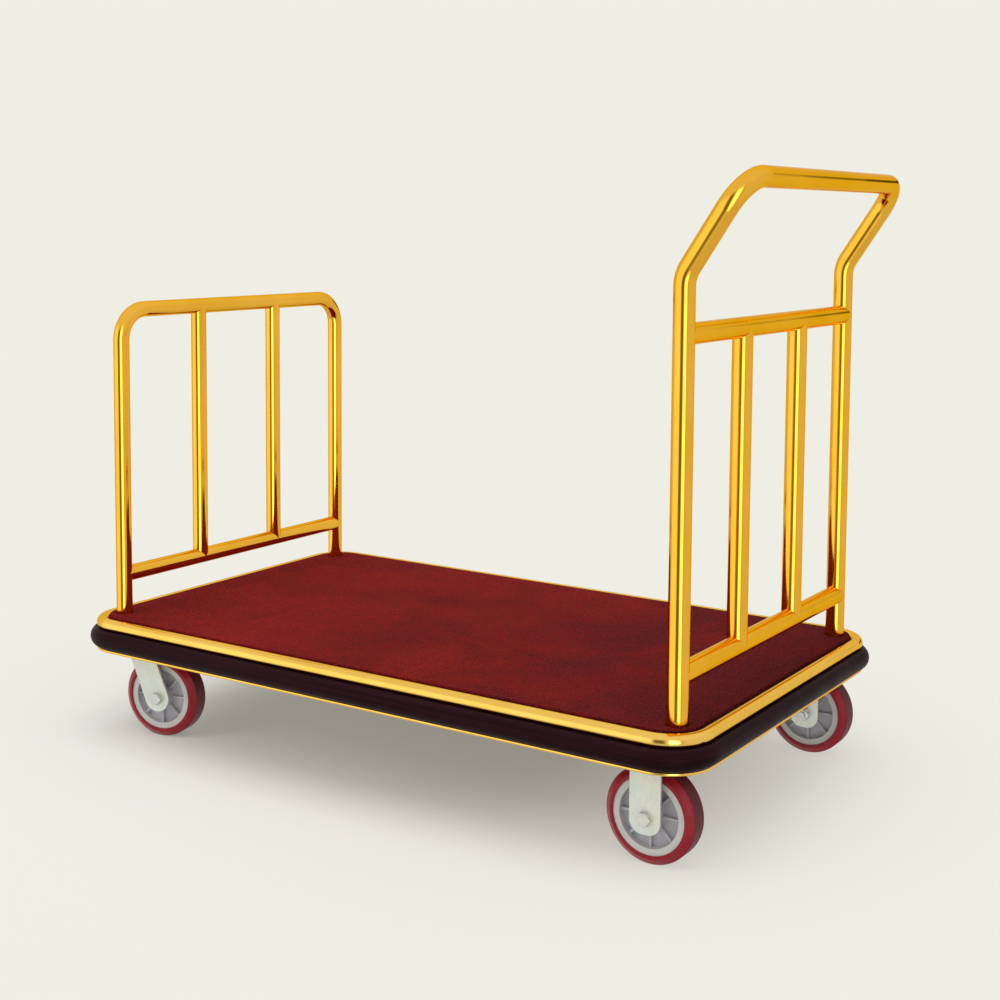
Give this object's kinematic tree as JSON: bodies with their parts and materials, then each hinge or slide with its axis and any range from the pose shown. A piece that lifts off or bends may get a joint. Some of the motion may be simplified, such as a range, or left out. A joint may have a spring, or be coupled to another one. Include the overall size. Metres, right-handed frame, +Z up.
{
  "type": "hotel luggage cart",
  "caption": "Flat platform luggage cart with a red carpet deck, black bumper, gold tube hoops at both ends, a raised push handle, swivel front casters and rigid rear casters.",
  "frame": {"origin": "on the floor, under the centre of the cart's bounding box", "axes": "+X along the deck towards the raised push handle, +Y across the deck, +Z up"},
  "size_m": [1.1288, 0.65, 0.88],
  "materials": {
    "front_hoop_gold": "mirror-polished gold-coated stainless tube",
    "handle_hoop_gold": "mirror-polished gold-coated stainless tube",
    "edge_trim_gold": "polished gold-coated stainless trim",
    "frame_steel": "black powder coat",
    "caster_zinc": "bright zinc-plated pressed steel",
    "fastener_zinc": "zinc-plated steel",
    "bearing_steel": "ground steel",
    "bush_bronze": "sintered bronze",
    "wheel_core_plastic": "moulded grey polypropylene",
    "tread_polyurethane": "glossy red polyurethane",
    "board_plywood": "plain plywood",
    "carpet_pile": "short cut-pile red carpet",
    "bumper_rubber": "satin black rubber"
  },
  "bodies": {
    "cart": {"axle_bolt_rear_left": "fastener_zinc", "axle_bolt_rear_right": "fastener_zinc", "axle_nut_rear_left": "fastener_zinc", "axle_nut_rear_right": "fastener_zinc", "axle_sleeve_rear_left": "bearing_steel", "axle_sleeve_rear_right": "bearing_steel", "board_screws": "fastener_zinc", "bumper_screws": "fastener_zinc", "bumper_strip": "bumper_rubber", "carpet": "carpet_pile", "cross_members": "frame_steel", "deck_board": "board_plywood", "edge_frame": "frame_steel", "foot_screws": "fastener_zinc", "front_bars": "front_hoop_gold", "front_cross_plate": "frame_steel", "front_hoop": "front_hoop_gold", "front_lower_rail": "front_hoop_gold", "handle_bars": "handle_hoop_gold", "handle_hoop": "handle_hoop_gold", "handle_lower_rail": "handle_hoop_gold", "handle_upper_rail": "handle_hoop_gold", "kingpins": "caster_zinc", "lower_lip": "edge_trim_gold", "plate_bolts": "fastener_zinc", "plate_nuts": "fastener_zinc", "post_feet": "frame_steel", "rear_cross_plate": "frame_steel", "rigid_fork_left": "caster_zinc", "rigid_fork_right": "caster_zinc", "swivel_balls": "bearing_steel", "swivel_plates": "caster_zinc", "trim_tube": "edge_trim_gold", "upper_races": "caster_zinc"},
    "front_left_fork": {"swivel_fork_left": "caster_zinc", "axle_bolt_front_left": "fastener_zinc", "axle_nut_front_left": "fastener_zinc", "axle_sleeve_front_left": "bearing_steel"},
    "front_left_wheel": {"tyre_front_left": "tread_polyurethane", "wheel_core_front_left": "wheel_core_plastic", "wheel_bush_front_left": "bush_bronze"},
    "rear_left_wheel": {"tyre_rear_left": "tread_polyurethane", "wheel_core_rear_left": "wheel_core_plastic", "wheel_bush_rear_left": "bush_bronze"},
    "front_right_fork": {"swivel_fork_right": "caster_zinc", "axle_bolt_front_right": "fastener_zinc", "axle_nut_front_right": "fastener_zinc", "axle_sleeve_front_right": "bearing_steel"},
    "front_right_wheel": {"tyre_front_right": "tread_polyurethane", "wheel_core_front_right": "wheel_core_plastic", "wheel_bush_front_right": "bush_bronze"},
    "rear_right_wheel": {"tyre_rear_right": "tread_polyurethane", "wheel_core_rear_right": "wheel_core_plastic", "wheel_bush_rear_right": "bush_bronze"}
  },
  "joints": [
    {"name": "front_left_swivel", "type": "hinge", "parent": "cart", "child": "front_left_fork", "pos_m": [-0.4666, -0.25601, 0.146], "axis": [0, 0, 1], "continuous": true},
    {"name": "front_left_spin", "type": "hinge", "parent": "front_left_fork", "child": "front_left_wheel", "pos_m": [-0.43236, -0.24873, 0.0635], "axis": [-0.2079, 0.9781, 0], "continuous": true},
    {"name": "rear_left_spin", "type": "hinge", "parent": "cart", "child": "rear_left_wheel", "pos_m": [0.4374, -0.25601, 0.0635], "axis": [0, 1, 0], "continuous": true},
    {"name": "front_right_swivel", "type": "hinge", "parent": "cart", "child": "front_right_fork", "pos_m": [-0.4666, 0.25601, 0.146], "axis": [0, 0, 1], "continuous": true},
    {"name": "front_right_spin", "type": "hinge", "parent": "front_right_fork", "child": "front_right_wheel", "pos_m": [-0.43236, 0.26328, 0.0635], "axis": [-0.2079, 0.9781, 0], "continuous": true},
    {"name": "rear_right_spin", "type": "hinge", "parent": "cart", "child": "rear_right_wheel", "pos_m": [0.4374, 0.25601, 0.0635], "axis": [0, 1, 0], "continuous": true}
  ]
}
